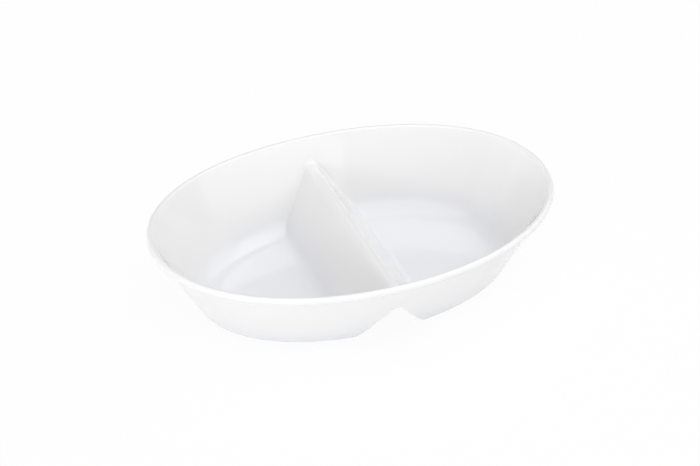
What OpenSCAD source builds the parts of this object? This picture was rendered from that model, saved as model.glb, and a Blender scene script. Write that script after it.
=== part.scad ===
// Oval serving bowl with two wells. It is formed in one piece: the divider between the wells is a
// fold of the base, so a tunnel open at both sides runs under it.
// The frame has X along the bowl, Y across it and Z up from the table. The divider lies over X = 0.
// The bowl is drawn as the features of that one piece, which meet face to face on shared points.

/* [Bowl] */
// Length over the rim
length = 262; // [200:1:340]
// Width over the rim
width = 179; // [140:1:230]
// Height of the rim's top above the table, at the middle of the bowl
height = 57; // [48:0.5:75]
// How much higher the rim stands at the two ends of the bowl
end_lift = 1.5; // [0:0.1:5]
// Power of the oval in plan: 2 is an ellipse, and more is squarer
oval_power = 2.08; // [1.8:0.02:2.6]
// Run of the wall at the sides as a share of its run at the ends
side_run_share = 0.91; // [0.7:0.01:1.05]

/* [Wall] */
// Lean of the wall's outside from upright, in degrees
outer_lean = 28; // [15:0.1:38]
// Lean of the wall's inside from upright, in degrees: more than the outside, so it thickens downwards
inner_lean = 30; // [28:0.1:40]
// Radius between the wall's outside and the base
base_round = 12; // [5:0.5:20]
// Radius between the wall's inside and the well floor
well_round = 20; // [8:0.5:26]

/* [Rim] */
// Radius of the bead round the rim
bead_r = 2.3; // [1.8:0.1:3.5]
// How far the bead stands outside the line of the wall, level with the rim's top
bead_proud = 1.4; // [0.4:0.1:2]
// Height of the bead and the neck that eases it into the wall
neck_h = 8.5; // [7:0.5:14]

/* [Floor] */
// Thickness of the two well floors
floor_t = 5; // [3:0.25:8]
// Height of the unglazed foot rings
foot_h = 1.5; // [0.75:0.25:4]
// Width of a foot ring
foot_w = 4; // [2:0.25:7]
// Distance from the edge of the flat base in to the foot ring
foot_inset = 3; // [1:0.25:8]
// Radius with which a foot ring turns its two corners
foot_corner = 10; // [6:0.5:14]

/* [Divider] */
// Depth of the divider's ridge below the top of the rim
ridge_drop = 15; // [10:0.25:20]
// Lean of the divider's faces from upright, in degrees
fold_lean = 35; // [28:0.5:38]
// Radius over the ridge
crest_r = 5; // [2.5:0.1:7]
// Thickness of the fold at the middle of the bowl
fold_t = 5; // [3.5:0.1:7]
// Radius between the divider's faces and the well floors
toe_round = 8; // [2:0.5:14]
// Difference in height over which the divider and the walls ease into each other
wall_blend = 5; // [2:0.5:12]
// Height above the well floor at which half of that easing is reached
blend_rise = 4; // [1:0.5:8]

/* [Tunnel] */
// Radius under the tunnel's roof
roof_r = 4.25; // [2:0.25:7]
// How much lower the roof is at the tunnel's mouths than at its middle
mouth_drop = 4.5; // [0:0.25:8]
// Height over which the tunnel eases into the base and the wall
tunnel_blend = 5; // [3:0.25:12]

/* [Hidden] */

// Steps of the surfaces: round one well, over the wall, round a fillet, from the divider's ridge
// over half its crest, down its face and over its toe, along the divider, round the bead and its
// neck, and round a corner of a foot ring
well_steps = 36;
wall_steps = 9;
round_steps = 6;
crest_steps = 3;
face_steps = 9;
toe_steps = 5;
floor_steps = 6;
bead_steps = 9;
neck_steps = 4;
corner_steps = 6;

glaze = "#f4f6f8";
bisque = "#e3ddd2";

half_l = length / 2;
half_w = width / 2;
floor_z = foot_h + floor_t;
ridge_z = height - ridge_drop;

// Rise over run of the slanted faces, and what a round adds to the height of a fold's sharp top
outer_run = tan(outer_lean);
inner_run = tan(inner_lean);
fold_run = tan(fold_lean);
sharp_rise = 1 / sin(fold_lean) - 1;

// The bead is round and its inside runs straight on into the wall's inside
bead_z = height - bead_r;
shoulder_q = bead_r + bead_r * cos(inner_lean);
shoulder_z = bead_z + bead_r * sin(inner_lean);
neck_z = height - neck_h;

function outer_q(z) = bead_proud + (height - z) * outer_run;
function inner_q(z) = shoulder_q + (shoulder_z - z) * inner_run;

// Where the fillets leave the wall, and the insets at which they reach the base and the floor
base_top = foot_h + base_round * (1 - sin(outer_lean));
well_top = floor_z + well_round * (1 - sin(inner_lean));
base_q = outer_q(base_top) + base_round * cos(outer_lean);
floor_q = inner_q(well_top) + well_round * cos(inner_lean);

// The wall's inside and outside from top to bottom, as [inset from the rim, height]. Both have as
// many points: the outside has one step less on its wall, and one more across the flat of the base.
function fillet(q, z, r, lean) =
    [for (i = [1:round_steps]) let (turn = lean + (90 - lean) * i / round_steps)
        [q - r * cos(turn), z + r - r * sin(turn)]];

inside = concat(
    [for (i = [0:wall_steps]) let (z = shoulder_z + (well_top - shoulder_z) * i / wall_steps)
        [inner_q(z), z]],
    fillet(floor_q, floor_z, well_round, inner_lean));
outside = concat(
    [for (i = [0:wall_steps - 1]) let (z = neck_z + (base_top - neck_z) * i / (wall_steps - 1))
        [outer_q(z), z]],
    fillet(base_q, foot_h, base_round, outer_lean),
    [[floor_q, foot_h]]);
last = len(inside) - 1;

// Points of the oval that lies inset by q from the rim
function oval_a(q) = half_l - q;
function oval_b(q) = half_w - side_run_share * q;
function oval_share(v) = sign(v) * pow(abs(v), 2 / oval_power);
function oval_y(q, x) = oval_b(q) * pow(1 - pow(abs(x) / oval_a(q), oval_power), 1 / oval_power);

// The ends of the bowl rise a little, most at the rim and not at all from the floor down
function lifted(x, z) =
    z + end_lift * pow(x / half_l, 2) * pow(max(0, z - floor_z) / (height - floor_z), 2);

// A fold of height top: a round ridge of radius r between two slanted faces
function fold(x, top, r) =
    let (turn = r * cos(fold_lean))
    abs(x) < turn ? top - r + sqrt(r * r - x * x)
        : top - r + r * sin(fold_lean) - (abs(x) - turn) / fold_run;

// The larger of a and b, rounded over where they are within the blend of each other
function eased(a, b, blend) =
    abs(b - a) >= blend ? max(a, b)
        : let (s = (b - a + blend) / (2 * blend)) a + blend * s * s;

// The divider's toe is the round between its face and the floor. It starts on the face this far
// from its end, and it ends this far from the middle.
toe_run = toe_round * cos(fold_lean);
toe_x = fold_run * (ridge_z + crest_r * sharp_rise - floor_z) + toe_round * tan((90 - fold_lean) / 2);

// How far the divider stands above the floor at x
function rise(x) =
    let (gap = max(0, toe_x - abs(x)))
    gap < toe_run ? toe_round - sqrt(toe_round * toe_round - gap * gap)
        : fold(x, ridge_z, crest_r) - floor_z;

// Height of the well side: the wall or the floor at z, with the divider rising out of it. They ease
// into each other, by nothing at the floor, and up to the rim's shoulder at the most.
wall_ease = min(wall_blend, shoulder_z - ridge_z);
function top_z(x, z) =
    let (both = rise(x) * (z - floor_z))
    floor_z + eased(rise(x), z - floor_z, wall_ease * both / (both + blend_rise * blend_rise));

// Height of the underside: the wall or the base at z, with the tunnel pressed up into it. Its roof
// follows the fold's thickness at the middle and sinks towards the mouths.
roof_z = ridge_z + (crest_r - roof_r) * sharp_rise - fold_t / sin(fold_lean);
mouth_y = oval_y(outer_q(roof_z - mouth_drop), 0);
function under_z(x, y, z) =
    eased(fold(x, roof_z - mouth_drop * pow(y / mouth_y, 2), roof_r), z, tunnel_blend);

// The divider ends where both its toe and its tunnel have run out
seam_x = max(toe_x, fold_run * (roof_z + roof_r * sharp_rise - foot_h + tunnel_blend));

// Points round a well wall at inset q and height z, from the far seam round the +X end to the near one
function round_well(q, z) =
    let (reach = acos(pow(seam_x / oval_a(q), oval_power / 2)))
    [for (i = [0:well_steps])
        let (turn = reach * (1 - 2 * i / well_steps))
        let (at_seam = i == 0 || i == well_steps)
        let (x = at_seam ? seam_x : oval_a(q) * oval_share(cos(turn)))
        let (y = at_seam ? sign(turn) * oval_y(q, seam_x) : oval_b(q) * oval_share(sin(turn)))
        [x, y, lifted(x, z)]];

// Places of the divider's columns, from the ridge to the seam on one side, and then from seam to seam
crest_x = crest_r * cos(fold_lean);
face_x = toe_x - toe_run;
side_x = concat(
    [for (i = [1:crest_steps]) crest_r * sin((90 - fold_lean) * i / crest_steps)],
    [for (i = [1:face_steps]) crest_x + (face_x - crest_x) * i / face_steps],
    [for (i = [1:toe_steps]) face_x + (seam_x - face_x) * i / toe_steps]);
fold_x = concat([for (i = [len(side_x) - 1:-1:0]) -side_x[i]], [0], side_x);

// Rows of one surface of the divider, from the far wall over the floor to the near wall
function fold_rows(profile) = concat(
    [for (p = profile) [for (x = fold_x) [x, oval_y(p[0], x), lifted(x, p[1])]]],
    [for (i = [1:floor_steps - 1])
        [for (x = fold_x) [x, oval_y(floor_q, x) * (1 - 2 * i / floor_steps), profile[last][1]]]],
    [for (k = [last:-1:0]) let (p = profile[k])
        [for (x = fold_x) [x, -oval_y(p[0], x), lifted(x, p[1])]]]);

// Two triangles on four corners, split from the first corner or, if so asked, from the second
function quad(a, b, c, d, from_second = false) =
    from_second ? [[a, b, d], [b, c, d]] : [[a, b, c], [a, c, d]];

// A closed shell between two sheets with as many rows and columns as each other. The first sheet
// is the upper one, with its rows running towards -Y where its columns run towards +X. Its quads are
// split one way in two opposite quarters and the other way in the rest, as the divider's creases run.
module shell(upper, lower) {
    rows = len(upper);
    cols = len(upper[0]);
    under = rows * cols;
    points = concat([for (r = upper) each r], [for (r = lower) each r]);
    sheets = [for (i = [0:rows - 2]) for (j = [0:cols - 2])
        let (a = i * cols + j)
        let (b = under + a)
        let (from_second = (2 * i < rows - 1) == (2 * j < cols - 1))
        each concat(quad(a, a + 1, a + cols + 1, a + cols, from_second),
            quad(b, b + cols, b + cols + 1, b + 1, from_second))];
    first_row = [for (j = [0:cols - 2]) each quad(j, under + j, under + j + 1, j + 1)];
    last_row = [for (j = [0:cols - 2]) let (a = (rows - 1) * cols + j)
        each quad(a, a + 1, under + a + 1, under + a)];
    first_col = [for (i = [0:rows - 2]) let (a = i * cols)
        each quad(a, a + cols, under + a + cols, under + a)];
    last_col = [for (i = [0:rows - 2]) let (a = i * cols + cols - 1)
        each quad(a, under + a, under + a + cols, a + cols)];
    polyhedron(points, concat(sheets, first_row, last_row, first_col, last_col));
}

// A closed tube through sections of equal length, the last of which joins the first
module closed_tube(sections) {
    turns = len(sections);
    sides = len(sections[0]);
    points = [for (s = sections) each s];
    faces = [for (i = [0:turns - 1]) for (j = [0:sides - 1])
        let (n = ((i + 1) % turns) * sides)
        let (k = (j + 1) % sides)
        each quad(i * sides + j, n + j, n + k, i * sides + k)];
    polyhedron(points, faces);
}

// The bead's section as [inset, height], from the wall's outside, out and over to the shoulder.
// The neck is a curve that leaves the bead at this angle and meets the wall's outside along its line.
bead_start = 240;
neck_from = [bead_r + bead_r * cos(bead_start), bead_z + bead_r * sin(bead_start)];
neck_way = [-sin(bead_start), cos(bead_start)];
neck_reach = (outer_q(neck_from[1]) - neck_from[0]) / (neck_way[0] + neck_way[1] * outer_run);
neck_bend = neck_from + neck_reach * neck_way;
neck_to = [outer_q(neck_z), neck_z];
function bend(a, b, c, s) = (1 - s) * (1 - s) * a + 2 * s * (1 - s) * b + s * s * c;
bead_section = concat(
    [for (i = [0:neck_steps - 1]) bend(neck_to, neck_bend, neck_from, i / neck_steps)],
    [for (i = [0:bead_steps]) let (turn = bead_start + (inner_lean - bead_start) * i / bead_steps)
        [bead_r + bead_r * cos(turn), bead_z + bead_r * sin(turn)]]);

// One loop round the whole rim at inset q and height z, on the points of the pieces below it. Its
// second half is its first half turned through 180 degrees.
function rim_loop(q, z) =
    let (well = round_well(q, z))
    let (near = [for (i = [len(fold_x) - 2:-1:1]) let (x = fold_x[i])
        [x, -oval_y(q, x), lifted(x, z)]])
    let (half = concat(well, near))
    concat(half, [for (p = half) [-p[0], -p[1], p[2]]]);

module rim_bead() {
    loops = [for (p = bead_section) rim_loop(p[0], p[1])];
    color(glaze) closed_tube([for (i = [0:len(loops[0]) - 1]) [for (l = loops) l[i]]]);
}

module well_wall() {
    upper = [for (p = inside) round_well(p[0], p[1])];
    lower = [for (p = outside) round_well(p[0], p[1])];
    color(glaze) shell(upper, lower);
}

module right_wall() {
    well_wall();
}

module left_wall() {
    mirror([1, 0, 0]) well_wall();
}

// The flat floor of a well fills the wall's lower edge and ends at the divider
module well_floor() {
    edge = [for (p = round_well(floor_q, floor_z)) [p[0], p[1]]];
    color(glaze) translate([0, 0, foot_h]) linear_extrude(floor_t) polygon(edge);
}

module right_floor() {
    well_floor();
}

module left_floor() {
    mirror([1, 0, 0]) well_floor();
}

module divider() {
    upper = [for (r = fold_rows(inside)) [for (p = r) [p[0], p[1], top_z(p[0], p[2])]]];
    lower = [for (r = fold_rows(outside)) [for (p = r) [p[0], p[1], under_z(p[0], p[1], p[2])]]];
    color(glaze) shell(upper, lower);
}

// Outline of a foot ring: the base's edge inset by d, closed by a straight side next to the tunnel
// with both its corners turned
foot_x = seam_x + foot_inset;
function foot_outline(d, corner) =
    let (a = oval_a(base_q) - d)
    let (b = oval_b(base_q) - d)
    let (x0 = foot_x + d - foot_inset)
    let (reach = acos(pow((x0 + corner) / a, oval_power / 2)))
    let (arc = [for (i = [0:well_steps]) let (turn = reach * (2 * i / well_steps - 1))
        [a * oval_share(cos(turn)), b * oval_share(sin(turn))]])
    let (y0 = b * pow(1 - pow(x0 / a, oval_power), 1 / oval_power))
    let (high = arc[well_steps])
    let (down = [x0, y0 - corner])
    let (rounded = [for (i = [1:corner_steps]) bend(high, [x0, y0], down, i / corner_steps)])
    concat(arc, rounded, [for (i = [corner_steps - 1:-1:0]) [rounded[i][0], -rounded[i][1]]]);

module foot_ring() {
    color(bisque) linear_extrude(foot_h) difference() {
        polygon(foot_outline(foot_inset, foot_corner));
        polygon(foot_outline(foot_inset + foot_w, foot_corner - foot_w));
    }
}

module right_foot_ring() {
    foot_ring();
}

module left_foot_ring() {
    mirror([1, 0, 0]) foot_ring();
}

rim_bead();
left_wall();
right_wall();
left_floor();
right_floor();
divider();
left_foot_ring();
right_foot_ring();
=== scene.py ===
"""Divided serving bowl: an oval white dish with a beaded rim and two wells, parted by a fold.

The bowl is one fired piece. Each of its features is worked out here as a smooth surface on a fine
grid, from the same sizes as the plain solids, and stands in for its solid. Neighbours share the
points and the slopes of their seams, so the glaze runs over them without a break. Sizes are in
millimetres and are turned into metres where a mesh is made.
"""

import logging
import math
from dataclasses import dataclass, field
from enum import Enum
from functools import cached_property
from typing import Callable

import bpy
import numpy as np
from mathutils import Matrix, Quaternion, Vector


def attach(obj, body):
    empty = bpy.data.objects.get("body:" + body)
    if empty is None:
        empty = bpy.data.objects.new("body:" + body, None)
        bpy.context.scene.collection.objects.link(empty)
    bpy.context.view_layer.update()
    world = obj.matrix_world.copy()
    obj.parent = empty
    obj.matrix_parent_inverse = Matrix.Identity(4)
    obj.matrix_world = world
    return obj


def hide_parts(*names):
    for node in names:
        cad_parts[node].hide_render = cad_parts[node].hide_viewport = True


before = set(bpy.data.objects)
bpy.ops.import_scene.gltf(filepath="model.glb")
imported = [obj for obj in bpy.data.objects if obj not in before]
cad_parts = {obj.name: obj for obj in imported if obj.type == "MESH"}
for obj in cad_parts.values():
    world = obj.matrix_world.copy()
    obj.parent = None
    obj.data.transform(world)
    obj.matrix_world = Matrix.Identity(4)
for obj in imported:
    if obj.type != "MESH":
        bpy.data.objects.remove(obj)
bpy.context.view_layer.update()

LOG = logging.getLogger("bowl")
MM = 0.001
BODY = "root"
# The two least values keep a division from being by nothing, and FAR is well beyond the bowl in mm.
LEAST_BLEND = 1e-9
LEAST_AREA = 1e-12
FAR = 1000.0
# Every lamp faces the point this many metres above the middle of the floor.
AIM_HEIGHT = 0.03
Grid = np.ndarray
Surface = Callable[[Grid, Grid], Grid]
Colour = tuple[float, float, float, float]
WHITE: Colour = (1.0, 1.0, 1.0, 1.0)


class Side(Enum):
    """The two wells, with the sign of their X."""

    LEFT = -1.0
    RIGHT = 1.0


class Slot(Enum):
    """The record's material slots."""

    GLAZE = "glaze"
    BISQUE = "bisque"


def slope(degrees: float) -> float:
    """How far a face that leans this far from upright goes sideways for its height."""
    return math.tan(math.radians(degrees))


def cosine(degrees: float) -> float:
    """The cosine of an angle in degrees."""
    return math.cos(math.radians(degrees))


def sine(degrees: float) -> float:
    """The sine of an angle in degrees."""
    return math.sin(math.radians(degrees))


@dataclass(frozen=True)
class BowlForm:
    """The bowl's driving sizes in millimetres and degrees, and the curves that follow from them."""

    length: float = 262.0
    width: float = 179.0
    height: float = 57.0
    end_lift: float = 1.5
    oval_power: float = 2.08
    side_run_share: float = 0.91
    outer_lean: float = 28.0
    inner_lean: float = 30.0
    base_round: float = 12.0
    well_round: float = 20.0
    bead_r: float = 2.3
    bead_proud: float = 1.4
    neck_h: float = 8.5
    floor_t: float = 5.0
    foot_h: float = 1.5
    foot_w: float = 4.0
    foot_inset: float = 3.0
    foot_corner: float = 10.0
    ridge_drop: float = 15.0
    fold_lean: float = 35.0
    crest_r: float = 5.0
    fold_t: float = 5.0
    toe_round: float = 8.0
    wall_blend: float = 5.0
    blend_rise: float = 4.0
    roof_r: float = 4.25
    mouth_drop: float = 4.5
    tunnel_blend: float = 5.0
    bead_start: float = 240.0

    @cached_property
    def floor_z(self) -> float:
        """Height of the well floors."""
        return self.foot_h + self.floor_t

    @cached_property
    def ridge_z(self) -> float:
        """Height of the divider's ridge."""
        return self.height - self.ridge_drop

    @cached_property
    def sharp_rise(self) -> float:
        """What a round adds to the height of a fold's sharp top, as a share of its radius."""
        return 1 / sine(self.fold_lean) - 1

    @cached_property
    def bead_z(self) -> float:
        """Height of the bead's centre."""
        return self.height - self.bead_r

    @cached_property
    def shoulder(self) -> tuple[float, float]:
        """Inset and height of the line where the bead runs into the wall's inside."""
        lean = math.radians(self.inner_lean)
        return self.bead_r * (1 + math.cos(lean)), self.bead_z + self.bead_r * math.sin(lean)

    @cached_property
    def neck_z(self) -> float:
        """Height at which the neck under the bead meets the wall's outside."""
        return self.height - self.neck_h

    @cached_property
    def base_top(self) -> float:
        """Height at which the wall's outside turns into the base."""
        return self.foot_h + self.base_round * (1 - sine(self.outer_lean))

    @cached_property
    def well_top(self) -> float:
        """Height at which the wall's inside turns into the well floor."""
        return self.floor_z + self.well_round * (1 - sine(self.inner_lean))

    @cached_property
    def base_q(self) -> float:
        """Inset of the flat base's edge."""
        return self.outer_q(self.base_top) + self.base_round * cosine(self.outer_lean)

    @cached_property
    def floor_q(self) -> float:
        """Inset of the flat well floor's edge."""
        return self.inner_q(self.well_top) + self.well_round * cosine(self.inner_lean)

    @cached_property
    def toe_x(self) -> float:
        """Distance from the middle at which the divider's toe meets the floor."""
        sharp_top = self.ridge_z + self.crest_r * self.sharp_rise
        foot_x = slope(self.fold_lean) * (sharp_top - self.floor_z)
        return foot_x + self.toe_round * slope((90 - self.fold_lean) / 2)

    @cached_property
    def roof_z(self) -> float:
        """Height of the tunnel's roof at the middle of the bowl."""
        rounding = (self.crest_r - self.roof_r) * self.sharp_rise
        return self.ridge_z + rounding - self.fold_t / sine(self.fold_lean)

    @cached_property
    def mouth_y(self) -> float:
        """Distance of the tunnel's mouths from the middle."""
        return float(self.oval_y(self.outer_q(self.roof_z - self.mouth_drop), 0.0))

    @cached_property
    def seam_x(self) -> float:
        """Distance from the middle at which the divider's faces and tunnel have both run out."""
        tunnel = self.roof_z + self.roof_r * self.sharp_rise - self.foot_h + self.tunnel_blend
        return max(self.toe_x, slope(self.fold_lean) * tunnel)

    def outer_q(self, z: Grid) -> Grid:
        """Inset of the wall's outside at height z: a straight line that leans by outer_lean."""
        return self.bead_proud + (self.height - z) * slope(self.outer_lean)

    def inner_q(self, z: Grid) -> Grid:
        """Inset of the wall's inside at height z: a straight line that leans by inner_lean."""
        return self.shoulder[0] + (self.shoulder[1] - z) * slope(self.inner_lean)

    def half_axes(self, q: Grid) -> tuple[Grid, Grid]:
        """Half the length and half the width of the oval that lies inset by q from the rim."""
        return self.length / 2 - q, self.width / 2 - self.side_run_share * q

    def oval_y(self, q: Grid, x: Grid) -> Grid:
        """Half the oval's width at x: b times the p-th root of one less (x over a) to the p."""
        a, b = self.half_axes(q)
        return b * (1 - (np.abs(x) / a) ** self.oval_power) ** (1 / self.oval_power)

    def oval_reach(self, a: Grid, b: Grid, turn: Grid) -> Grid:
        """Distance from the middle to an oval of half axes a and b in the direction turn.

        It is the sum of the p-th powers of cos over a and sin over b, to the power of minus one
        over p.

        Args:
            a: Half the length.
            b: Half the width.
            turn: The direction, in radians.

        Returns:
            The distance.
        """
        power = self.oval_power
        shares = np.abs(np.cos(turn) / a) ** power + np.abs(np.sin(turn) / b) ** power
        return shares ** (-1 / power)

    def oval_at(self, q: Grid, turn: Grid) -> tuple[Grid, Grid]:
        """The point of the oval inset by q in the direction turn."""
        reach = self.oval_reach(*self.half_axes(q), turn)
        return reach * np.cos(turn), reach * np.sin(turn)

    def lifted(self, x: Grid, z: Grid) -> Grid:
        """Height z raised towards the ends by the squares of x and of the height over the floor."""
        share = np.maximum(z - self.floor_z, 0) / (self.height - self.floor_z)
        return z + self.end_lift * (x / (self.length / 2)) ** 2 * share**2

    def fold(self, x: Grid, top: Grid, radius: float) -> Grid:
        """Height of a fold across x: a round ridge between two slanted straight faces.

        Args:
            x: Distance from the fold's middle.
            top: Height of its ridge.
            radius: Radius of its ridge.

        Returns:
            The height at x.
        """
        lean = math.radians(self.fold_lean)
        edge = radius * math.cos(lean)
        ridge = top - radius + np.sqrt(np.maximum(radius * radius - x * x, 0))
        face = top - radius + radius * math.sin(lean) - (np.abs(x) - edge) / math.tan(lean)
        return np.where(np.abs(x) < edge, ridge, face)

    def eased(self, a: Grid, b: Grid, blend: Grid) -> Grid:
        """The larger of a and b, rounded over where they are within the blend of each other.

        Args:
            a: One height.
            b: The other height.
            blend: How near to each other they are where the rounding starts.

        Returns:
            The height, which is a quarter of the blend above both where they are equal.
        """
        size = np.maximum(blend, LEAST_BLEND)
        s = (b - a + size) / (2 * size)
        return np.where(np.abs(b - a) < size, a + size * s * s, np.maximum(a, b))

    def rise(self, x: Grid) -> Grid:
        """How far the divider stands above the floor, with a round where its faces meet the floor.

        Args:
            x: Distance from the bowl's middle.

        Returns:
            The rise, which is nothing beyond the toe.
        """
        gap = np.maximum(self.toe_x - np.abs(x), 0)
        toe = self.toe_round - np.sqrt(np.maximum(self.toe_round**2 - gap * gap, 0))
        face = self.fold(x, self.ridge_z, self.crest_r) - self.floor_z
        return np.where(gap < self.toe_round * cosine(self.fold_lean), toe, face)

    def top_z(self, x: Grid, z: Grid) -> Grid:
        """Height inside the bowl: wall or floor at z, with the divider rising out of it.

        The blend of the two grows with how far both stand above the floor, from nothing.

        Args:
            x: Distance from the bowl's middle.
            z: Height of the wall or the floor.

        Returns:
            The height of the inside.
        """
        rise, wall = self.rise(x), z - self.floor_z
        blend = self.wall_blend * rise * wall / (rise * wall + self.blend_rise**2)
        return self.floor_z + self.eased(rise, wall, blend)

    def under_z(self, x: Grid, y: Grid, z: Grid) -> Grid:
        """Height outside: wall or base at z, or the tunnel's roof, falling by the square of y."""
        roof = self.fold(x, self.roof_z - self.mouth_drop * (y / self.mouth_y) ** 2, self.roof_r)
        return self.eased(roof, z, self.tunnel_blend)

    def fillet(self, q: float, z: float, radius: float, lean: float, s: Grid) -> tuple[Grid, Grid]:
        """Share s of the way round the arc from a leaning wall to the level line at (q, z)."""
        turn = np.radians(lean + (90 - lean) * s)
        return q - radius * np.cos(turn), z + radius - radius * np.sin(turn)

    def inside(self, s: Grid) -> tuple[Grid, Grid]:
        """The wall's inside, downwards: the straight wall to s = 1, the fillet to s = 2.

        Args:
            s: Places down the profile.

        Returns:
            Their insets and heights.
        """
        z = self.shoulder[1] + (self.well_top - self.shoulder[1]) * s
        arc = self.fillet(self.floor_q, self.floor_z, self.well_round, self.inner_lean, s - 1)
        return np.where(s < 1, self.inner_q(z), arc[0]), np.where(s < 1, z, arc[1])

    def outside(self, s: Grid) -> tuple[Grid, Grid]:
        """The wall's outside, downwards: wall to s = 1, fillet to 1.6, flat base to 2.

        Args:
            s: Places down the profile.

        Returns:
            Their insets and heights.
        """
        z = self.neck_z + (self.base_top - self.neck_z) * s
        turn = (s - 1) / FILLET_SPAN
        arc = self.fillet(self.base_q, self.foot_h, self.base_round, self.outer_lean, turn)
        flat = (s - 1 - FILLET_SPAN) / (1 - FILLET_SPAN)
        q_flat = self.base_q + (self.floor_q - self.base_q) * flat
        q = np.where(s < 1, self.outer_q(z), np.where(flat < 0, arc[0], q_flat))
        return q, np.where(s < 1, z, np.where(flat < 0, arc[1], self.foot_h))

    def bead(self, s: Grid) -> tuple[Grid, Grid]:
        """The bead's section: the neck's quadratic curve to s = 1, the round to s = 2.

        Args:
            s: Places up the neck and over the bead.

        Returns:
            Their insets and heights.
        """
        start = math.radians(self.bead_start)
        begin = self.bead_r * (1 + math.cos(start)), self.bead_z + self.bead_r * math.sin(start)
        way = -math.sin(start), math.cos(start)
        run = slope(self.outer_lean)
        reach = (self.outer_q(begin[1]) - begin[0]) / (way[0] + way[1] * run)
        middle = begin[0] + reach * way[0], begin[1] + reach * way[1]
        end = self.outer_q(self.neck_z), self.neck_z
        ends = zip(end, middle, begin)
        neck = [(1 - s) ** 2 * e + 2 * s * (1 - s) * m + s * s * b for e, m, b in ends]
        turn = np.radians(self.bead_start + (self.inner_lean - self.bead_start) * (s - 1))
        q = np.where(s < 1, neck[0], self.bead_r * (1 + np.cos(turn)))
        return q, np.where(s < 1, neck[1], self.bead_z + self.bead_r * np.sin(turn))


FILLET_SPAN = 0.6
FORM = BowlForm()


@dataclass
class Sheet:
    """A grid of points, with the unit normal at each, in millimetres."""

    points: Grid
    normals: Grid

    @classmethod
    def of(cls, surface: Surface, u: Grid, v: Grid) -> "Sheet":
        """A surface sampled on a grid.

        A normal is the cross product of the surface's two slopes, each the difference between the
        points a small step before and after, so it is the same on both sides of a seam.

        Args:
            surface: Gives the points for arrays of both parameters.
            u: The rows' places.
            v: The columns' places.

        Returns:
            The sheet, with a row for each u and a column for each v.
        """
        rows, cols = np.meshgrid(u, v, indexing="ij")
        step = 1e-4
        along = surface(rows + step, cols) - surface(rows - step, cols)
        across = surface(rows, cols + step) - surface(rows, cols - step)
        normals = np.cross(along, across)
        normals /= np.linalg.norm(normals, axis=-1, keepdims=True)
        return cls(surface(rows, cols), normals)

    def turned(self) -> "Sheet":
        """The sheet turned half round the bowl's upright axis."""
        half_turn = np.array([-1.0, -1.0, 1.0])
        return Sheet(self.points * half_turn, self.normals * half_turn)

    def columns(self, first: int, last: int) -> "Sheet":
        """The sheet's columns from first up to, but not with, last."""
        return Sheet(self.points[:, first:last], self.normals[:, first:last])

    def facing(self, way: float) -> "Sheet":
        """The sheet with its normals pointing mostly up for 1, or mostly down for -1."""
        sign = 1.0 if self.normals[..., 2].sum() * way > 0 else -1.0
        return Sheet(self.points, self.normals * sign)

    def swelling(self) -> "Sheet":
        """The sheet with its normals pointing out of the round that its rows go over."""
        outward = self.points - self.points.mean(axis=0, keepdims=True)
        sign = 1.0 if (outward * self.normals).sum() > 0 else -1.0
        return Sheet(self.points, self.normals * sign)


def joined(sheets: list[Sheet]) -> Sheet:
    """One sheet from several with as many rows as each other, side by side."""
    points = np.concatenate([s.points for s in sheets], axis=1)
    return Sheet(points, np.concatenate([s.normals for s in sheets], axis=1))


def quads(index: Grid, wrap_rows: bool = False, wrap_cols: bool = False) -> Grid:
    """The four corners of every cell of a grid of point numbers.

    Args:
        index: Point numbers in rows and columns.
        wrap_rows: Whether the last row joins the first.
        wrap_cols: Whether the last column joins the first.

    Returns:
        One row of four point numbers for each cell.
    """
    if wrap_rows:
        index = np.concatenate([index, index[:1]], axis=0)
    if wrap_cols:
        index = np.concatenate([index, index[:, :1]], axis=1)
    cells = [index[:-1, :-1], index[:-1, 1:], index[1:, 1:], index[1:, :-1]]
    return np.stack(cells, axis=-1).reshape(-1, 4)


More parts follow.
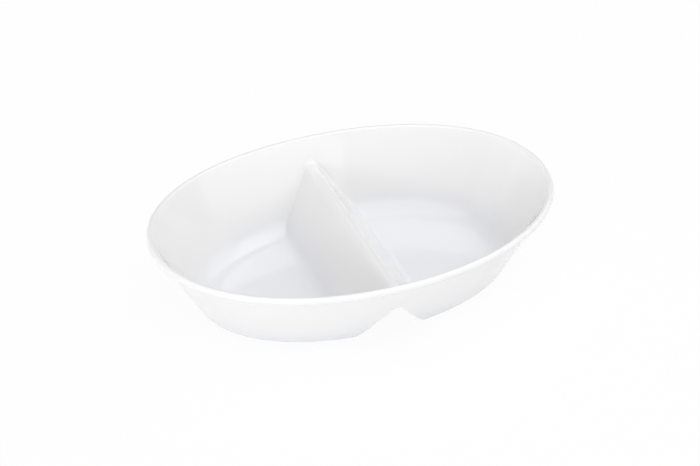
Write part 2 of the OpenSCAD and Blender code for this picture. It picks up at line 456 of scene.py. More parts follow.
class Solid:
    """A closed mesh under way: its points, and its faces with a normal at each corner."""

    def __init__(self, points: Grid, normals: Grid) -> None:
        """Starts without faces.

        Args:
            points: The points, in any grid of rows of three.
            normals: The surface's unit normal at each.
        """
        self.points = points.reshape(-1, 3)
        self.normals = normals.reshape(-1, 3)
        self.faces: list[Grid] = []
        self.corners: list[Grid] = []
        self.smooth: list[Grid] = []

    def skin(self, cells: Grid) -> None:
        """Adds faces that take their corners' normals from the points, wound to agree with them.

        Args:
            cells: A row of point numbers for each face.
        """
        way = (self.flat_normals(cells) * self.normals[cells[:, 0]]).sum()
        cells = cells if way > 0 else cells[:, ::-1]
        self.faces.append(cells)
        self.corners.append(self.normals[cells])
        self.smooth.append(np.ones(len(cells), bool))

    def seam(self, cells: Grid, away_from: Grid) -> None:
        """Adds the flat faces of a seam, wound to face away from a point.

        Args:
            cells: A row of point numbers for each face.
            away_from: The point, on the solid's side of the seam.
        """
        way = (self.flat_normals(cells) * (self.points[cells].mean(axis=1) - away_from)).sum()
        cells = cells if way > 0 else cells[:, ::-1]
        self.faces.append(cells)
        flat = self.flat_normals(cells)
        flat /= np.maximum(np.linalg.norm(flat, axis=1, keepdims=True), LEAST_AREA)
        self.corners.append(np.repeat(flat[:, None], cells.shape[1], axis=1))
        self.smooth.append(np.zeros(len(cells), bool))

    def flat_normals(self, cells: Grid) -> Grid:
        """Each face's own normal: the cross product of two lines across it."""
        p = self.points[cells]
        return np.cross(p[:, 2] - p[:, 0], p[:, -1] - p[:, 1])

    def piece(self, name: str, material: bpy.types.Material) -> bpy.types.Object:
        """Makes the Blender object, at the origin and in metres.

        Args:
            name: The piece's name.
            material: Its finish.

        Returns:
            The object, linked to the scene and smooth-shaded by the surface's own normals.
        """
        mesh = bpy.data.meshes.new(name)
        sizes = np.concatenate([np.full(len(f), f.shape[1]) for f in self.faces])
        corners = np.concatenate([f.ravel() for f in self.faces])
        starts = np.concatenate([[0], np.cumsum(sizes)[:-1]])
        mesh.vertices.add(len(self.points))
        mesh.vertices.foreach_set("co", (self.points * MM).astype(np.float32).ravel())
        mesh.loops.add(len(corners))
        mesh.loops.foreach_set("vertex_index", corners.astype(np.int32))
        mesh.polygons.add(len(sizes))
        mesh.polygons.foreach_set("loop_start", starts.astype(np.int32))
        mesh.polygons.foreach_set("use_smooth", np.concatenate(self.smooth))
        mesh.update(calc_edges=True)
        mesh.validate()
        mesh.normals_split_custom_set(np.concatenate([c.reshape(-1, 3) for c in self.corners]))
        mesh.materials.append(material)
        piece = bpy.data.objects.new(name, mesh)
        bpy.context.scene.collection.objects.link(piece)
        return piece


def shell(upper: Sheet, lower: Sheet) -> Solid:
    """A closed shell between two sheets with as many rows and columns as each other.

    Args:
        upper: The upper sheet.
        lower: The lower sheet.

    Returns:
        The solid, closed by flat seams along the sheets' four edges.
    """
    rows, cols = upper.points.shape[:2]
    solid = Solid(
        np.concatenate([upper.points.reshape(-1, 3), lower.points.reshape(-1, 3)]),
        np.concatenate([upper.normals.reshape(-1, 3), lower.normals.reshape(-1, 3)]),
    )
    top = np.arange(rows * cols).reshape(rows, cols)
    bottom = top + rows * cols
    solid.skin(quads(top))
    solid.skin(quads(bottom))
    middle = (upper.points.mean(axis=(0, 1)) + lower.points.mean(axis=(0, 1))) / 2
    for edge in (np.s_[0, :], np.s_[-1, :], np.s_[:, 0], np.s_[:, -1]):
        solid.seam(quads(np.stack([top[edge], bottom[edge]])), middle)
    return solid


@dataclass(frozen=True)
class Fineness:
    """How many steps each surface has."""

    well: int = 280
    wall: int = 50
    fillet: int = 34
    crest: int = 18
    face: int = 44
    toe: int = 26
    floor: int = 40
    neck: int = 12
    bead: int = 40
    disc: int = 14
    foot_arc: int = 200
    foot_corner: int = 20
    foot_side: int = 40
    foot_round: int = 8


STEPS = Fineness()
BACK_ROUND = np.linspace(0, 1, STEPS.well + 1)


def profile_steps(*spans: tuple[float, float, int]) -> Grid:
    """Places down a profile: each span from its first to its last value in so many steps."""
    parts = [np.linspace(a, b, n + 1)[:-1] for a, b, n in spans]
    return np.concatenate(parts + [np.array([spans[-1][1]])])


def fold_columns() -> Grid:
    """Places across the divider from -1 to 1, closest where its ridge and toes are round.

    Returns:
        The places, in rising order and the same on both sides.
    """
    level = cosine(FORM.fold_lean)
    crest = FORM.crest_r * level / FORM.seam_x
    toe = (FORM.toe_x - FORM.toe_round * level) / FORM.seam_x
    half = profile_steps((0.0, crest, STEPS.crest), (crest, toe, STEPS.face), (toe, 1.0, STEPS.toe))
    return np.concatenate([-half[:0:-1], half])


PROFILE_END = 2.0
FOLD_END = 5.0
WALL_ROWS = profile_steps((0.0, 1.0, STEPS.wall), (1.0, PROFILE_END, STEPS.fillet))
FOLD_COLUMNS = fold_columns()


def round_well(profile: Surface) -> Surface:
    """The right well's surface: its profile carried round the oval from far seam to near seam.

    At place v, the direction from the middle is turned by v of the way between the seams'.

    Args:
        profile: Gives the insets and heights for places down the profile.

    Returns:
        The surface, for places down the profile and round the well.
    """

    def at(s: Grid, v: Grid) -> Grid:
        """The points at places s down the profile and v round the well."""
        q, z = profile(s)
        reach = np.arctan2(FORM.oval_y(q, FORM.seam_x), FORM.seam_x)
        x, y = FORM.oval_at(q, reach * (1 - 2 * v))
        return np.stack([x, y, FORM.lifted(x, z)], axis=-1)

    return at


def along_fold(profile: Surface, height: Callable[[Grid, Grid, Grid], Grid]) -> Surface:
    """The divider's surface between the seams: columns at one x, from the far wall to the near one.

    The profile is run down the far wall for u from 0 to 2, straight across the floor to 3, and up
    the near wall to 5. The height there is then made the fold's.

    Args:
        profile: Gives the insets and heights for places down the profile.
        height: Gives the fold's height for x, y and the wall's or floor's height.

    Returns:
        The surface, for places down, across and up, and from one seam to the other.
    """

    def at(u: Grid, w: Grid) -> Grid:
        """The points at places u from wall to wall and w from seam to seam."""
        x = FORM.seam_x * w
        place = np.where(u < FOLD_END / 2, u, FOLD_END - u)
        q, z = profile(np.minimum(place, PROFILE_END))
        y = FORM.oval_y(q, x) * np.clip(FOLD_END - 2 * u, -1, 1)
        return np.stack([x, y, height(x, y, FORM.lifted(x, z))], axis=-1)

    return at


class Part:
    """A piece of the bowl: a name and a closed mesh."""

    name: str

    def solid(self) -> Solid:
        """Works out the piece's mesh."""
        raise NotImplementedError

    def make(self, finish: bpy.types.Material) -> bpy.types.Object:
        """Builds the piece with its finish."""
        return self.solid().piece(self.name, finish)


@dataclass
class WellPart(Part):
    """A piece of one well, worked out for the right one."""

    side: Side
    kind = ""

    @property
    def name(self) -> str:
        """The well's side and the piece's kind."""
        return f"{self.side.name.lower()}_{self.kind}"

    def placed(self, sheet: Sheet) -> Sheet:
        """The right well's sheet, turned half round where this is the left well."""
        return sheet.turned() if self.side is Side.LEFT else sheet


class Rim(Part):
    """The round bead along the rim, with the neck that eases it into the wall's outside."""

    name = "rim_bead"

    def sheet(self) -> Sheet:
        """Works out the bead's skin.

        Returns:
            The sheet, its rows up the section and its columns once round the bowl.
        """
        rows = profile_steps((0.0, 1.0, STEPS.neck), (1.0, PROFILE_END, STEPS.bead))
        well = Sheet.of(round_well(FORM.bead), rows, BACK_ROUND).columns(0, -1).swelling()

        def over_divider(s: Grid, w: Grid) -> Grid:
            """The bead's points between the seams, at the near side."""
            q, z = FORM.bead(s)
            x = FORM.seam_x * w
            return np.stack([x, -FORM.oval_y(q, x), FORM.lifted(x, z)], axis=-1)

        near = Sheet.of(over_divider, rows, FOLD_COLUMNS[::-1]).columns(0, -1).swelling()
        return joined([well, near, well.turned(), near.turned()])

    def solid(self) -> Solid:
        """Works out the piece's mesh.

        Returns:
            The bead and its neck, closed by a hidden face towards the wall.
        """
        sheet = self.sheet()
        rows, cols = sheet.points.shape[:2]
        solid = Solid(sheet.points, sheet.normals)
        index = np.arange(rows * cols).reshape(rows, cols)
        solid.skin(quads(index, wrap_cols=True))
        above = np.array([0.0, 0.0, FAR])
        solid.seam(quads(np.stack([index[-1], index[0]]), wrap_cols=True), above)
        return solid


@dataclass
class Wall(WellPart):
    """The wall round one well, inside and outside, with the rounds at its foot."""

    kind = "wall"

    def solid(self) -> Solid:
        """Works out the piece's mesh.

        Returns:
            The shell between the wall's inside and its outside.
        """
        upper = Sheet.of(round_well(FORM.inside), WALL_ROWS, BACK_ROUND).facing(1)
        lower = Sheet.of(round_well(FORM.outside), WALL_ROWS, BACK_ROUND).facing(-1)
        return shell(self.placed(upper), self.placed(lower))


@dataclass
class Floor(WellPart):
    """The flat floor of one well, from the wall's foot to the divider."""

    kind = "floor"

    def disc(self, z: float, way: float) -> Sheet:
        """One face of the floor: level rings drawn in from its edge towards its middle.

        Args:
            z: The face's height.
            way: 1 for a face that looks up, -1 for one that looks down.

        Returns:
            The face, with a row for each ring.
        """
        edge = round_well(FORM.inside)(np.full(STEPS.well + 1, PROFILE_END), BACK_ROUND)[:, :2]
        seam = edge[-1] + (edge[0] - edge[-1]) * np.linspace(0, 1, STEPS.floor + 1)[1:-1, None]
        loop = np.concatenate([edge, seam])
        middle = loop.mean(axis=0)
        share = np.linspace(1, 0, STEPS.disc + 1)[:-1, None, None]
        x, y = np.moveaxis(middle + (loop - middle) * share, -1, 0)
        points = np.stack([x, y, np.full_like(x, z)], axis=-1)
        return Sheet(points, np.zeros_like(points) + np.array([0.0, 0.0, way]))

    def solid(self) -> Solid:
        """Works out the piece's mesh.

        Returns:
            Two discs joined round their edges.
        """
        upper = self.placed(self.disc(FORM.floor_z, 1))
        lower = self.placed(self.disc(FORM.foot_h, -1))
        rings, count = upper.points.shape[:2]
        poles = [s.points[-1].mean(axis=0, keepdims=True) for s in (upper, lower)]
        upright = [s.normals[-1, :1] for s in (upper, lower)]
        solid = Solid(
            np.concatenate([upper.points.reshape(-1, 3), lower.points.reshape(-1, 3), *poles]),
            np.concatenate([upper.normals.reshape(-1, 3), lower.normals.reshape(-1, 3), *upright]),
        )
        for number in (0, 1):
            index = np.arange(rings * count).reshape(rings, count) + number * rings * count
            solid.skin(quads(index, wrap_cols=True))
            inner = index[-1]
            pole = np.full(count, 2 * rings * count + number)
            solid.skin(np.stack([inner, np.roll(inner, -1), pole], axis=1))
        edge = np.stack([np.arange(count), np.arange(count) + rings * count])
        solid.seam(quads(edge, wrap_cols=True), solid.points.mean(axis=0))
        return solid


class Divider(Part):
    """The fold of the base between the wells, with its tunnel and the walls it runs into."""

    name = "divider"

    def solid(self) -> Solid:
        """Works out the piece's mesh.

        Returns:
            The shell between the fold's upper side and its tunnel.
        """
        steps = (STEPS.wall, STEPS.fillet, STEPS.floor, STEPS.fillet, STEPS.wall)
        rows = profile_steps(*((float(n), n + 1.0, count) for n, count in enumerate(steps)))
        inside = along_fold(FORM.inside, lambda x, y, z: FORM.top_z(x, z))
        upper = Sheet.of(inside, rows, FOLD_COLUMNS).facing(1)
        lower = Sheet.of(along_fold(FORM.outside, FORM.under_z), rows, FOLD_COLUMNS).facing(-1)
        return shell(upper, lower)


@dataclass
class FootRing(WellPart):
    """The low ring under one well, with rounded edges and a fillet where it leaves the base."""

    kind = "foot_ring"
    edge_r: float = 0.5
    fillet_r: float = 0.8

    def outline(self, d: float) -> Grid:
        """The ring's line: an oval arc and a straight side, with turned corners between them.

        A corner is a quadratic curve whose middle point is where the arc would meet the side.

        Args:
            d: The line's inset from the base's edge.

        Returns:
            Rows of x and y, once round the ring.
        """
        a, b = (v - d for v in FORM.half_axes(FORM.base_q))
        x0 = FORM.seam_x + d
        corner = FORM.foot_corner - (d - FORM.foot_inset)
        power = FORM.oval_power

        def half_width(x: float) -> float:
            """Half the oval's width at x."""
            return b * (1 - (x / a) ** power) ** (1 / power)

        high = np.array([x0 + corner, half_width(x0 + corner)])
        reach = math.atan2(high[1], high[0])
        turn = np.linspace(-reach, reach, STEPS.foot_arc + 1)
        size = FORM.oval_reach(a, b, turn)
        arc = np.stack([size * np.cos(turn), size * np.sin(turn)], axis=-1)
        tip = np.array([x0, half_width(x0)])
        down = np.array([x0, tip[1] - corner])
        s = np.linspace(0, 1, STEPS.foot_corner + 1)[1:, None]
        bend = (1 - s) ** 2 * high + 2 * s * (1 - s) * tip + s * s * down
        share = np.linspace(1, -1, STEPS.foot_side + 1)[1:, None]
        side = down * np.array([1, 0]) + np.array([0, down[1]]) * share
        back = bend[:-1][::-1] * np.array([1, -1])
        return np.concatenate([arc, bend, side, back])

    def section(self) -> Grid:
        """The ring's section: fillet, outer side, round, sole, round, inner side, fillet.

        Returns:
            Rows of inset and height.
        """
        turn = np.linspace(0, math.pi / 2, STEPS.foot_round + 1)
        start, end, top = FORM.foot_inset, FORM.foot_inset + FORM.foot_w, FORM.foot_h
        inward, downward = 1 - np.sin(turn), 1 - np.cos(turn)
        hollow = np.stack([start - self.fillet_r * inward, top - self.fillet_r * downward], axis=-1)
        turned = np.stack([start + self.edge_r * downward, self.edge_r * inward], axis=-1)
        outer = np.concatenate([hollow, turned])
        inner = outer[::-1] * np.array([-1, 1]) + np.array([start + end, 0])
        return np.concatenate([outer, inner])

    def solid(self) -> Solid:
        """Works out the piece's mesh.

        Returns:
            The ring's skin, closed by a hidden face against the base.
        """
        rings = ((self.outline(d), z) for d, z in self.section())
        points = np.stack([np.insert(line, 2, z, axis=1) for line, z in rings])
        along = np.roll(points, -1, axis=1) - np.roll(points, 1, axis=1)
        across = np.gradient(points, axis=0)
        normals = np.cross(along, across)
        normals /= np.linalg.norm(normals, axis=-1, keepdims=True)
        sheet = self.placed(Sheet(points, normals).facing(-1))
        solid = Solid(sheet.points, sheet.normals)
        index = np.arange(points.shape[0] * points.shape[1]).reshape(points.shape[:2])
        solid.skin(quads(index, wrap_cols=True))
        cap = quads(np.stack([index[-1], index[0]]), wrap_cols=True)
        below = np.array([0.0, 0.0, -FAR])
        solid.seam(cap, below)
        return solid


class Tree:
    """Makes and joins the nodes of a shader tree."""

    def __init__(self, tree: bpy.types.NodeTree) -> None:
        """Works on this tree."""
        self.tree = tree

    def node(self, kind: str, inputs: dict | None = None, **settings: object) -> bpy.types.Node:
        """Adds a node.

        Args:
            kind: The node's type, without the leading ShaderNode.
            inputs: What its sockets hold: a value, or another node's output to join.
            settings: The node's own settings.

        Returns:
            The node.
        """
        node = self.tree.nodes.new(f"ShaderNode{kind}")
        for name, value in settings.items():
            setattr(node, name, value)
        for name, value in (inputs or {}).items():
            if isinstance(value, bpy.types.NodeSocket):
                self.tree.links.new(value, node.inputs[name])
            else:
                node.inputs[name].default_value = value
        return node

    def math(self, operation: str, *values: object) -> bpy.types.NodeSocket:
        """The result of a Math node on these values or sockets."""
        return self.node("Math", dict(enumerate(values)), operation=operation).outputs[0]

    def ramp(self, value: object, start: float, end: float) -> bpy.types.NodeSocket:
        """A smooth step from 0 at start to 1 at end, by cubic easing."""
        inputs = {"Value": value, "From Min": start, "From Max": end}
        return self.node("MapRange", inputs, interpolation_type="SMOOTHSTEP").outputs["Result"]

    def noise(self, place: object, scale: float, detail: float = 2.0) -> bpy.types.NodeSocket:
        """Smooth noise of this many features a metre, from 0 to 1."""
        inputs = {"Vector": place, "Scale": scale, "Detail": detail}
        return self.node("TexNoise", inputs).outputs["Fac"]

    def blend(self, share: object, first: object, second: object) -> bpy.types.NodeSocket:
        """A colour between two: a Mix node takes them at its sockets 6 and 7 and gives it at 2."""
        inputs = {"Factor": share, 6: first, 7: second}
        return self.node("Mix", inputs, data_type="RGBA").outputs[2]

    def mix(self, share: object, first: object, second: object) -> bpy.types.NodeSocket:
        """A value between two: a Mix node takes them at its sockets 2 and 3 and gives it at 0."""
        inputs = {"Factor": share, 2: first, 3: second}
        return self.node("Mix", inputs, data_type="FLOAT").outputs[0]

    def layer(self, share: object, first: bpy.types.Node, second: bpy.types.Node) -> bpy.types.Node:
        """The first shader, turning into the second with the share."""
        return self.node("MixShader", {0: share, 1: first.outputs[0], 2: second.outputs[0]})


def new_material(name: str) -> tuple[bpy.types.Material, Tree]:
    """Makes a material without a finish yet.

    Args:
        name: Its name.

    Returns:
        The material, and its nodes.
    """
    material = bpy.data.materials.new(name)
    material.use_nodes = True
    return material, Tree(material.node_tree)


@dataclass(frozen=True)
class FiredCoat:
    """How the clear glaze lies on the white body.

    The coat is thickest low in the wells, where it ran and gathered, and thinnest over the bead and
    the ridge. Thickness shifts the colour between three near whites. The bluer, darker colour low in
    the wells is partly that thicker coat and partly painted shade, the cool cast of the shaded
    floors. The faint ripple of a fired coat goes out as a height, and a haze as small changes in
    roughness. Each scale is a noise's features a metre. Lengths are in metres, but the bead's and
    the ridge's fades and the ridge's bare top are in millimetres.
    """

    drift_scale: float = 22.0
    drift: float = 0.010
    shade_pool_low: float = 0.008
    shade_pool_high: float = 0.024
    bead_fade: float = 2.0
    ridge_fade: float = 5.0
    ridge_bare: float = 0.5
    ridge_near: float = 0.001
    ridge_far: float = 0.005
    ripple_scale: float = 75.0
    peel_scale: float = 420.0
    peel_share: float = 0.01
    haze_scale: float = 140.0
    haze: float = 0.012

    def group(self) -> bpy.types.ShaderNodeTree:
        """Builds the node group that all that is glazed shares.

        Returns:
            The group. It takes three colours and a roughness, and gives one colour, the
            roughness and the ripple's height.
        """
        group = bpy.data.node_groups.new("fired_glaze", "ShaderNodeTree")
        taken = (("Thin", "Color"), ("Full", "Color"), ("Pooled", "Color"), ("Roughness", "Float"))
        for name, kind in taken:
            group.interface.new_socket(name, in_out="INPUT", socket_type=f"NodeSocket{kind}")
        for name, kind in (("Colour", "Color"), ("Roughness", "Float"), ("Height", "Float")):
            group.interface.new_socket(name, in_out="OUTPUT", socket_type=f"NodeSocket{kind}")
        tree = Tree(group)
        given = group.nodes.new("NodeGroupInput").outputs
        out = group.nodes.new("NodeGroupOutput").inputs
        place = tree.node("TexCoord").outputs["Object"]
        axes = tree.node("SeparateXYZ", {"Vector": place}).outputs
        drift_noise = tree.noise(place, self.drift_scale)
        drift = tree.math("MULTIPLY_ADD", drift_noise, self.drift, -self.drift / 2)
        height = tree.math("ADD", axes["Z"], drift)
        # Share of the bluer, darker colour low in the wells: thicker glaze, and painted shade.
        pooled = tree.math("SUBTRACT", 1.0, tree.ramp(height, self.shade_pool_low, self.shade_pool_high))
        bead = tree.ramp(height, (FORM.bead_z - self.bead_fade) * MM, FORM.height * MM)
        ridge_foot, ridge_top = FORM.ridge_z - self.ridge_fade, FORM.ridge_z - self.ridge_bare
        ridge_high = tree.ramp(height, ridge_foot * MM, ridge_top * MM)
        aside = tree.ramp(tree.math("ABSOLUTE", axes["X"]), self.ridge_near, self.ridge_far)
        ridge_near = tree.math("SUBTRACT", 1.0, aside)
        thin = tree.math("MAXIMUM", bead, tree.math("MULTIPLY", ridge_high, ridge_near))
        # Low in the wells the colour turns bluer and darker: gathered glaze and painted shade.
        colour = tree.blend(pooled, given["Full"], given["Pooled"])
        colour = tree.blend(thin, colour, given["Thin"])
        ripple = tree.noise(place, self.ripple_scale, detail=1.0)
        peel = tree.noise(place, self.peel_scale, detail=1.0)
        haze = tree.noise(place, self.haze_scale, detail=3.0)
        rough = tree.math("MULTIPLY_ADD", haze, self.haze, given["Roughness"])
        group.links.new(colour, out["Colour"])
        group.links.new(rough, out["Roughness"])
        group.links.new(tree.math("MULTIPLY_ADD", peel, self.peel_share, ripple), out["Height"])
        return group


@dataclass(frozen=True)
class GlazeFinish:
    """Clear high-gloss glaze over a white body, in linear colours, its ripple's height in metres."""

    thin: Colour = (0.879, 0.875, 0.868, 1.0)
    full: Colour = (0.870, 0.868, 0.867, 1.0)
    # Bluer and darker than full: glaze gathered low in the wells, and painted shade of those floors.
    pooled: Colour = (0.853, 0.857, 0.876, 1.0)
    roughness: float = 0.012
    ior: float = 1.5
    ripple: float = 0.000004

    def place_in(self, tree: Tree, group: bpy.types.ShaderNodeTree) -> bpy.types.Node:
        """Puts the shared group in a material with this finish's values.

        Args:
            tree: The material's nodes.
            group: The shared group.

        Returns:
            The group's node.
        """
        node = tree.node("Group", node_tree=group)
        for name, value in (("Thin", self.thin), ("Full", self.full), ("Pooled", self.pooled)):
            node.inputs[name].default_value = value
        node.inputs["Roughness"].default_value = self.roughness
        return node

    def material(self, group: bpy.types.ShaderNodeTree) -> bpy.types.Material:
        """Builds the glaze's material.

        Args:
            group: The shared group.

        Returns:
            The material.
        """
        material, tree = new_material("white_glaze")
        shader = material.node_tree.nodes["Principled BSDF"]
        coat = self.place_in(tree, group)
        height = coat.outputs["Height"]
        bump = tree.node("Bump", {"Height": height, "Strength": 1.0, "Distance": self.ripple})
        shader.inputs["IOR"].default_value = self.ior
        links = material.node_tree.links
        links.new(coat.outputs["Colour"], shader.inputs["Base Color"])
        links.new(coat.outputs["Roughness"], shader.inputs["Roughness"])
        links.new(bump.outputs["Normal"], shader.inputs["Normal"])
        return material


@dataclass(frozen=True)
class BisqueFinish:
    """Bare body on the ring's flat sole, with the glaze ending in a wandering line above it.

    Each scale is a noise's features a metre, and lengths are in metres.
    """

    body: Colour = (0.74, 0.70, 0.63, 1.0)
    speck: Colour = (0.42, 0.36, 0.29, 1.0)
    roughness: float = 0.82
    line: float = 0.0006
    line_width: float = 0.00012
    wander_scale: float = 260.0
    wander: float = 0.0004
    speck_scale: float = 2600.0
    speck_start: float = 0.66
    speck_end: float = 0.74
    speck_share: float = 0.5
    cloud_scale: float = 90.0
    cloud_gain: float = 0.5
    cloud_base: float = -0.1
    cloud_share: float = 0.25
    grain_scale: float = 5200.0
    grain_rough: float = 0.12
    grain_depth: float = 0.00006
    grain_strength: float = 0.8

    def material(self, group: bpy.types.ShaderNodeTree, glaze: GlazeFinish) -> bpy.types.Material:
        """Builds the foot ring's material, bare below the glaze line and glazed above it.

        Args:
            group: The shared group.
            glaze: The finish above the line.

        Returns:
            The material.
        """
        material, tree = new_material("bare_foot")
        links = material.node_tree.links
        shader = material.node_tree.nodes["Principled BSDF"]
        coat = glaze.place_in(tree, group)
        place = tree.node("TexCoord").outputs["Object"]
        wander_noise = tree.noise(place, self.wander_scale, detail=3.0)
        wander = tree.math("MULTIPLY_ADD", wander_noise, self.wander, -self.wander / 2)
        height = tree.math("ADD", tree.node("SeparateXYZ", {"Vector": place}).outputs["Z"], wander)
        glazed = tree.ramp(height, self.line - self.line_width, self.line + self.line_width)
        speck_noise = tree.noise(place, self.speck_scale, detail=2.0)
        specks = tree.ramp(speck_noise, self.speck_start, self.speck_end)
        cloud_noise = tree.noise(place, self.cloud_scale, detail=3.0)
        cloud = tree.math("MULTIPLY_ADD", cloud_noise, self.cloud_gain, self.cloud_base)
        bare = tree.blend(tree.math("MULTIPLY", specks, self.speck_share), self.body, self.speck)
        bare = tree.blend(tree.math("MULTIPLY", cloud, self.cloud_share), bare, self.speck)
        grain = tree.noise(place, self.grain_scale, detail=3.0)
        bare_rough = tree.math("MULTIPLY_ADD", grain, self.grain_rough, self.roughness)
        rough = tree.mix(glazed, bare_rough, coat.outputs["Roughness"])
        relief = tree.mix(glazed, grain, coat.outputs["Height"])
        grains = {"Height": relief, "Strength": self.grain_strength, "Distance": self.grain_depth}
        bump = tree.node("Bump", grains)
        links.new(tree.blend(glazed, bare, coat.outputs["Colour"]), shader.inputs["Base Color"])
        links.new(rough, shader.inputs["Roughness"])
        links.new(bump.outputs["Normal"], shader.inputs["Normal"])
        return material


@dataclass
class Bowl:
    """The whole bowl: its finishes, and its pieces in the order they are made."""

    glaze: GlazeFinish = field(default_factory=GlazeFinish)
    bisque: BisqueFinish = field(default_factory=BisqueFinish)

    def make(self) -> None:
        """Builds each piece, and puts it on its body and in its solid's place."""
        group = FiredCoat().group()
        glazed = self.glaze.material(group)
        bare = self.bisque.material(group, self.glaze)
        parts = [(Rim(), glazed, Slot.GLAZE), (Divider(), glazed, Slot.GLAZE)]
        for side in Side:
            parts += [(Wall(side), glazed, Slot.GLAZE), (Floor(side), glazed, Slot.GLAZE)]
            parts.append((FootRing(side), bare, Slot.BISQUE))
        for part, finish, slot in parts:
            piece = part.make(finish)
            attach(piece, BODY)
            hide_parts(piece.name.split(".")[0])
            LOG.info("%s: %d faces", piece.name, len(piece.data.polygons))


@dataclass(frozen=True)
class PhotoCamera:
    """The photograph's camera, as fitted to the bowl's outline.

    Angles are in degrees, the distance and the pivot in metres, the image and the pivot's place in
    it in pixels, and the sensor in millimetres.
    """

    image: tuple[int, int] = (700, 466)
    azimuth: float = 20.61
    elevation: float = 35.58
    roll: float = 0.98
    distance: float = 1.246
    pivot: tuple[float, float, float] = (0.0, 0.0, 0.028)
    pixels_per_mm: float = 1.581
    centre: tuple[float, float] = (353.66, 244.32)
    sensor: float = 36.0
    clip_end: float = 20.0

    def make(self) -> None:
        """Places the camera and makes it the scene's own.

        It looks along the way that azimuth and elevation give, and is rolled about that way.
        """
        a, e = math.radians(self.azimuth), math.radians(self.elevation)
        right = Vector((math.cos(a), -math.sin(a), 0))
        ahead = Vector((math.sin(a) * math.cos(e), math.cos(a) * math.cos(e), -math.sin(e)))
        up = right.cross(ahead)
        tilt = math.radians(self.roll)
        cos, sin = math.cos(tilt), math.sin(tilt)
        right, up = right * cos - up * sin, right * sin + up * cos
        data = bpy.data.cameras.new("photo_camera")
        wide, high = self.image
        data.sensor_width = self.sensor
        data.lens = self.pixels_per_mm * self.distance / MM * self.sensor / wide
        data.shift_x = (wide / 2 - self.centre[0]) / wide
        data.shift_y = (self.centre[1] - high / 2) / wide
        data.clip_end = self.clip_end
        camera = bpy.data.objects.new("photo_camera", data)
        turn = Matrix((right, up, -ahead)).transposed().to_4x4()
        camera.matrix_world = Matrix.Translation(Vector(self.pivot) - ahead * self.distance) @ turn
        bpy.context.scene.collection.objects.link(camera)
        bpy.context.scene.camera = camera


@dataclass(frozen=True)
class Softbox:
    """A flat lamp: its azimuth, elevation and distance, its size, its radiance and its tilt.

    Angles are in degrees and lengths in metres. A radiance of 1 is as bright as white.
    """

    name: str
    azimuth: float
    elevation: float
    distance: float
    size: tuple[float, float]
    radiance: float
    tilt: float = 0.0

    def make(self) -> None:
        """Hangs the lamp, facing the bowl. Radiance L over an area A makes a power of pi A L."""
        data = bpy.data.lights.new(self.name, "AREA")
        data.shape = "RECTANGLE"
        data.size, data.size_y = self.size
        data.energy = math.pi * self.size[0] * self.size[1] * self.radiance
        lamp = bpy.data.objects.new(self.name, data)
        a, e = math.radians(self.azimuth), math.radians(self.elevation)
        way = Vector((math.sin(a) * math.cos(e), math.cos(a) * math.cos(e), math.sin(e)))
        lamp.location = way * self.distance + Vector((0, 0, AIM_HEIGHT))
        tilt = Quaternion((0, 0, 1), math.radians(self.tilt))
        lamp.rotation_euler = (way.to_track_quat("Z", "Y") @ tilt).to_euler()
        bpy.context.scene.collection.objects.link(lamp)


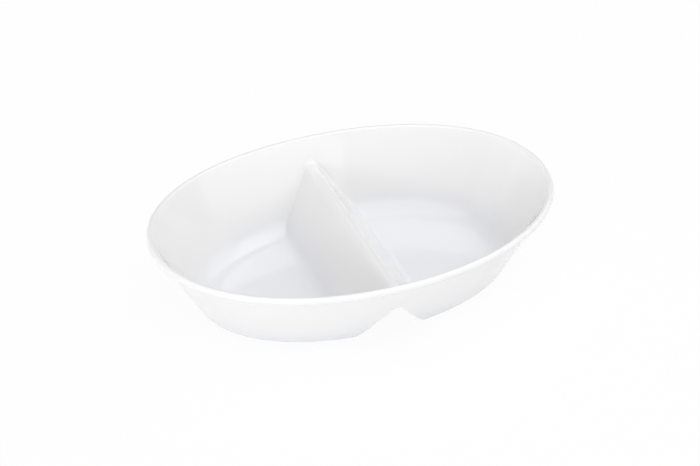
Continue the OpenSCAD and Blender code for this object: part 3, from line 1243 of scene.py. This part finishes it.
@dataclass
class Studio:
    """A pale floor, soft lamps, and a grey room, lighter at the front, that is seen as white."""

    front: float = 200.0
    room_front: float = 0.50
    room_back: float = 0.27
    room_colour: Colour = (0.98, 0.98, 1.0, 1.0)
    floor_size: float = 4.0
    floor_colour: Colour = (0.9, 0.9, 0.9, 1.0)
    floor_glow: float = 0.94
    softboxes: tuple[Softbox, ...] = (
        Softbox("overhead", 165.0, 74.0, 1.4, (2.2, 1.8), 1.1),
        Softbox("right_front", 144.5, 12.0, 1.6, (1.73, 0.45), 0.9, -12.0),
        Softbox("right", 85.0, 45.0, 1.5, (1.2, 1.2), 0.95),
        Softbox("left_low", 230.0, 10.0, 1.6, (1.9, 0.6), 2.5),
        Softbox("left", 280.0, 24.0, 1.6, (1.0, 0.8), 0.55),
        Softbox("back_left", 320.0, 10.0, 1.6, (1.6, 0.5), 0.9),
        Softbox("back_right", 45.0, 10.0, 1.6, (1.4, 0.5), 0.3),
    )

    def make(self) -> None:
        """Sets up the room, the floor and the lamps."""
        self.make_room()
        self.make_floor()
        for softbox in self.softboxes:
            softbox.make()

    def make_room(self) -> None:
        """The world: grey light that fades from front to back, shown to the camera as white."""
        world = bpy.data.worlds.new("room")
        bpy.context.scene.world = world
        world.use_nodes = True
        tree = Tree(world.node_tree)
        way = tree.node("TexCoord").outputs["Generated"]
        turn = math.radians(self.front)
        front = math.sin(turn), math.cos(turn), 0
        towards = tree.node("VectorMath", {0: way, 1: front}, operation="DOT_PRODUCT")
        half = (self.room_front - self.room_back) / 2
        level = tree.math("MULTIPLY_ADD", towards.outputs["Value"], half, self.room_back + half)
        light = tree.node("Background", {"Color": self.room_colour, "Strength": level})
        shown = tree.node("Background", {"Color": WHITE, "Strength": 1.0})
        seen = tree.node("LightPath").outputs["Is Camera Ray"]
        mixed = tree.layer(seen, light, shown)
        surface = world.node_tree.nodes["World Output"].inputs["Surface"]
        world.node_tree.links.new(mixed.outputs[0], surface)

    def make_floor(self) -> None:
        """The floor: white as seen and mirrored, with the bowl's shadow, and clear from below."""
        half = self.floor_size / 2
        mesh = bpy.data.meshes.new("floor")
        corners = [(-half, -half, 0), (half, -half, 0), (half, half, 0), (-half, half, 0)]
        mesh.from_pydata(corners, [], [(0, 1, 2, 3)])
        material, tree = new_material("pale_floor")
        nodes, links = material.node_tree.nodes, material.node_tree.links
        nodes.remove(nodes["Principled BSDF"])
        paper = tree.node("BsdfDiffuse", {"Color": self.floor_colour})
        shine = tree.node("Emission", {"Color": WHITE, "Strength": 1.0})
        mostly = tree.layer(self.floor_glow, paper, shine)
        rays = tree.node("LightPath").outputs
        seen = tree.math("MAXIMUM", rays["Is Camera Ray"], rays["Is Glossy Ray"])
        shown = tree.layer(seen, paper, mostly)
        clear = tree.node("BsdfTransparent")
        behind = tree.node("NewGeometry").outputs["Backfacing"]
        whole = tree.layer(behind, shown, clear)
        links.new(whole.outputs[0], nodes["Material Output"].inputs["Surface"])
        mesh.materials.append(material)
        floor = bpy.data.objects.new("floor", mesh)
        bpy.context.scene.collection.objects.link(floor)


def main() -> None:
    """Builds the bowl, the studio and the camera."""
    logging.basicConfig(level=logging.INFO, format="%(name)s: %(message)s")
    bpy.context.scene.view_settings.view_transform = "Standard"
    PhotoCamera().make()
    Bowl().make()
    Studio().make()


if __name__ == "__main__":
    main()
